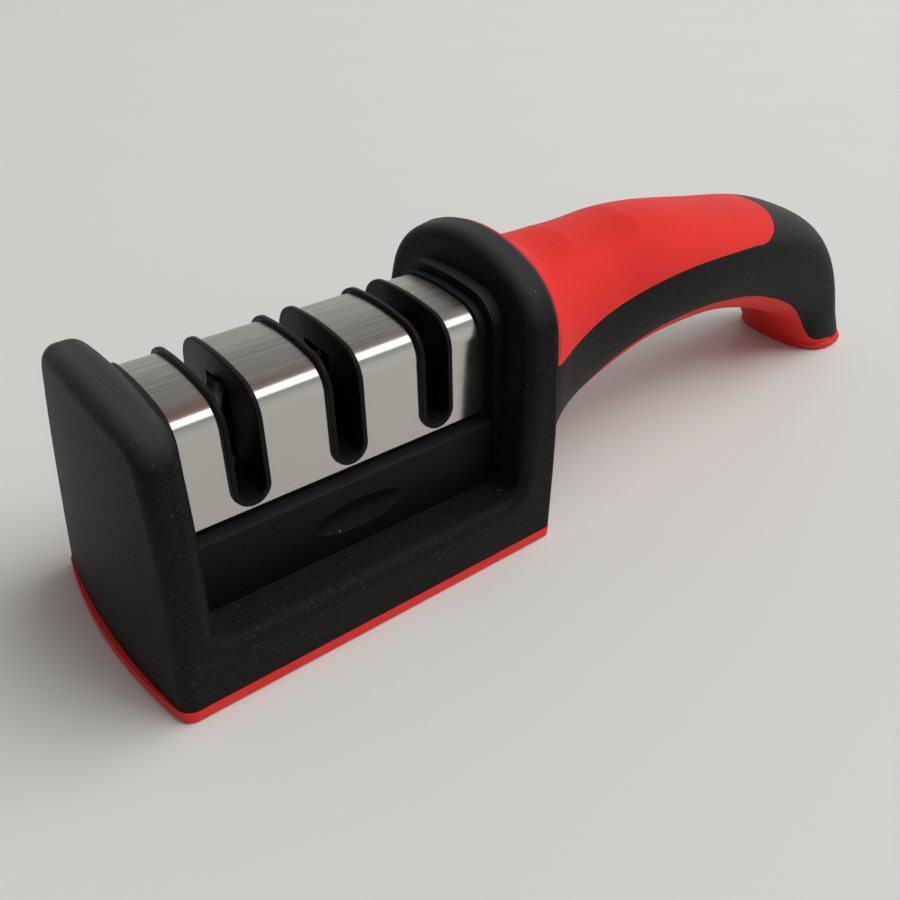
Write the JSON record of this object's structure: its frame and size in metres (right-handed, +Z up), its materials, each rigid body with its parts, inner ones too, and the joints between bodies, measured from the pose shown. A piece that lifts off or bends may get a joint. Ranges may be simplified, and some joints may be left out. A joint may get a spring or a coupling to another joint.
{
  "type": "hand-held knife sharpener",
  "caption": "Hand-held pull-through knife sharpener: black two-tower body, red-grip hooked handle and lift-out steel-covered cartridge with knife slots.",
  "frame": {"origin": "middle of the overall length and width, at the height of the table the sharpener stands on", "axes": "+X from the front tower to the end of the handle, +Z up, +Y across the body, in the direction a knife is pushed through the slots"},
  "size_m": [0.2006, 0.048, 0.0556],
  "materials": {
    "black_plastic": "fine spark-eroded grain",
    "black_plastic_fine": "smooth satin",
    "black_plastic_inner": "plain moulded",
    "collar_plastic": "satin",
    "red_grip": "soft matte overmould",
    "red_pad": "soft matte",
    "brushed_cover": "brushed lengthwise",
    "white_ceramic": "fine ground",
    "carbide": "ground tungsten carbide",
    "diamond_grit": "diamond-coated steel",
    "screw_steel": "zinc plated"
  },
  "bodies": {
    "body": {"body_shell": "black_plastic", "grip_top": "red_grip", "grip_strip": "red_grip", "base_plate": "black_plastic_inner", "base_pad": "red_pad", "base_screws": "screw_steel"},
    "cartridge": {"cartridge_frame": "black_plastic_fine", "steel_cover": "brushed_cover", "collar_fine": "collar_plastic", "collar_medium": "collar_plastic", "collar_coarse": "collar_plastic", "ceramic_carrier": "black_plastic_inner", "ceramic_rod_left": "white_ceramic", "ceramic_rod_right": "white_ceramic", "blade_carrier": "black_plastic_inner", "carbide_blade_left": "carbide", "carbide_blade_right": "carbide", "blade_screw": "screw_steel", "diamond_carrier": "black_plastic_inner", "diamond_rod_left": "diamond_grit", "diamond_rod_right": "diamond_grit", "cartridge_lid": "black_plastic_inner", "lid_screws": "screw_steel"}
  },
  "joints": [
    {"name": "cartridge_lift", "type": "slide", "parent": "body", "child": "cartridge", "axis": [0, 0, 1], "range_m": [0, 0.055]}
  ]
}
